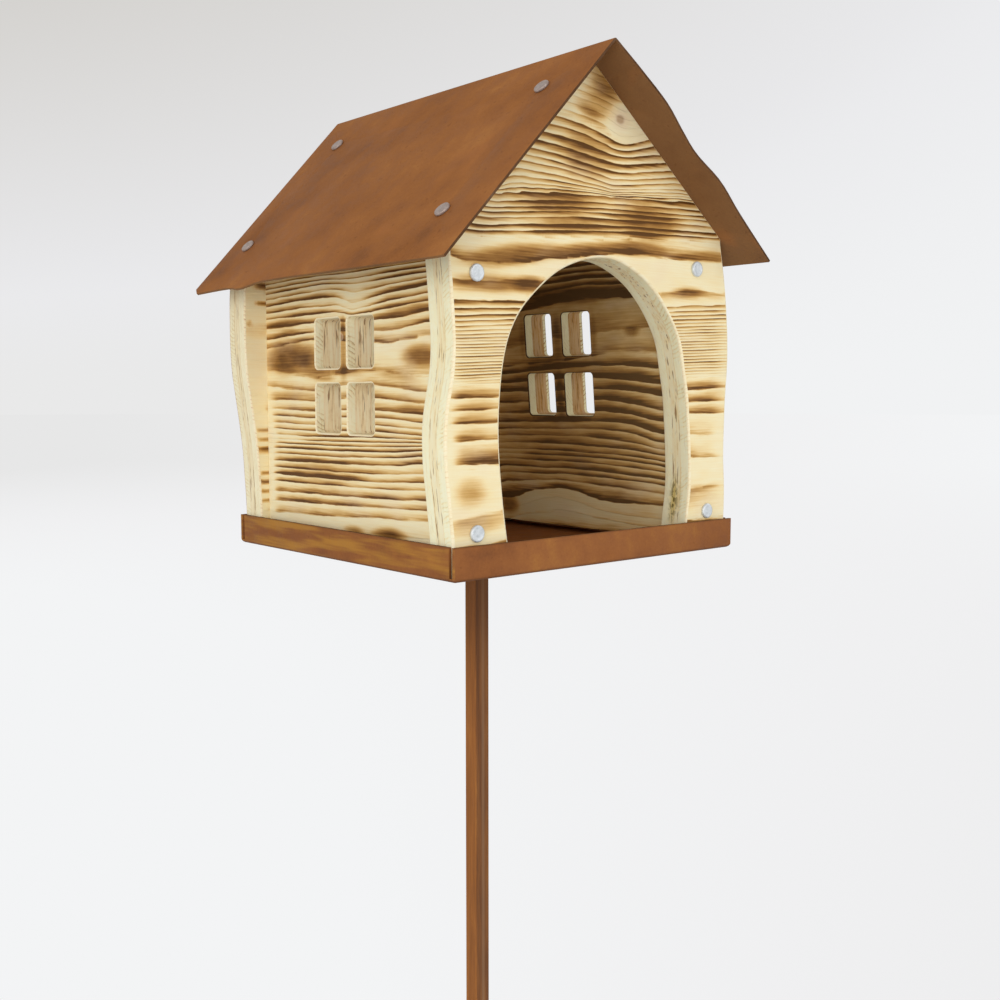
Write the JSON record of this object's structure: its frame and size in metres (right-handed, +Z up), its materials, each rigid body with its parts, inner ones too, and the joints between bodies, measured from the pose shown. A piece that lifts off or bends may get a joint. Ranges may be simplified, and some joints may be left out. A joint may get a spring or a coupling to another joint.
{
  "type": "bird feeder",
  "caption": "Small crooked wooden house with an arched doorway and pane windows, in a folded rusty steel tray under a folded rusty steel roof, on a square steel post.",
  "frame": {"origin": "middle of the post's foot, at ground level", "axes": "+Z up along the post; the arched doorway faces -Y; +X is to the right of a person facing the doorway"},
  "size_m": [0.2292, 0.2446, 1.2577],
  "materials": {
    "post_steel": "rusted, matte",
    "tray_steel": "rusted, matte",
    "roof_steel": "rusted, matte",
    "board_wood": "scorched and brushed softwood, oiled",
    "screw_steel": "galvanised"
  },
  "bodies": {
    "root": {"post": "post_steel", "post_plate": "post_steel", "post_weld": "post_steel", "tray": "tray_steel", "front_board": "board_wood", "rear_board": "board_wood", "left_wall": "board_wood", "right_wall": "board_wood", "roof": "roof_steel", "wall_screw_front_left_upper": "screw_steel", "wall_screw_front_left_lower": "screw_steel", "wall_screw_front_right_upper": "screw_steel", "wall_screw_front_right_lower": "screw_steel", "wall_screw_rear_left_upper": "screw_steel", "wall_screw_rear_left_lower": "screw_steel", "wall_screw_rear_right_upper": "screw_steel", "wall_screw_rear_right_lower": "screw_steel", "roof_screw_front_left_upper": "screw_steel", "roof_screw_front_left_lower": "screw_steel", "roof_screw_front_right_upper": "screw_steel", "roof_screw_front_right_lower": "screw_steel", "roof_screw_rear_left_upper": "screw_steel", "roof_screw_rear_left_lower": "screw_steel", "roof_screw_rear_right_upper": "screw_steel", "roof_screw_rear_right_lower": "screw_steel", "floor_screw_front_left": "screw_steel", "floor_screw_front_right": "screw_steel", "floor_screw_rear_left": "screw_steel", "floor_screw_rear_right": "screw_steel"}
  },
  "joints": []
}
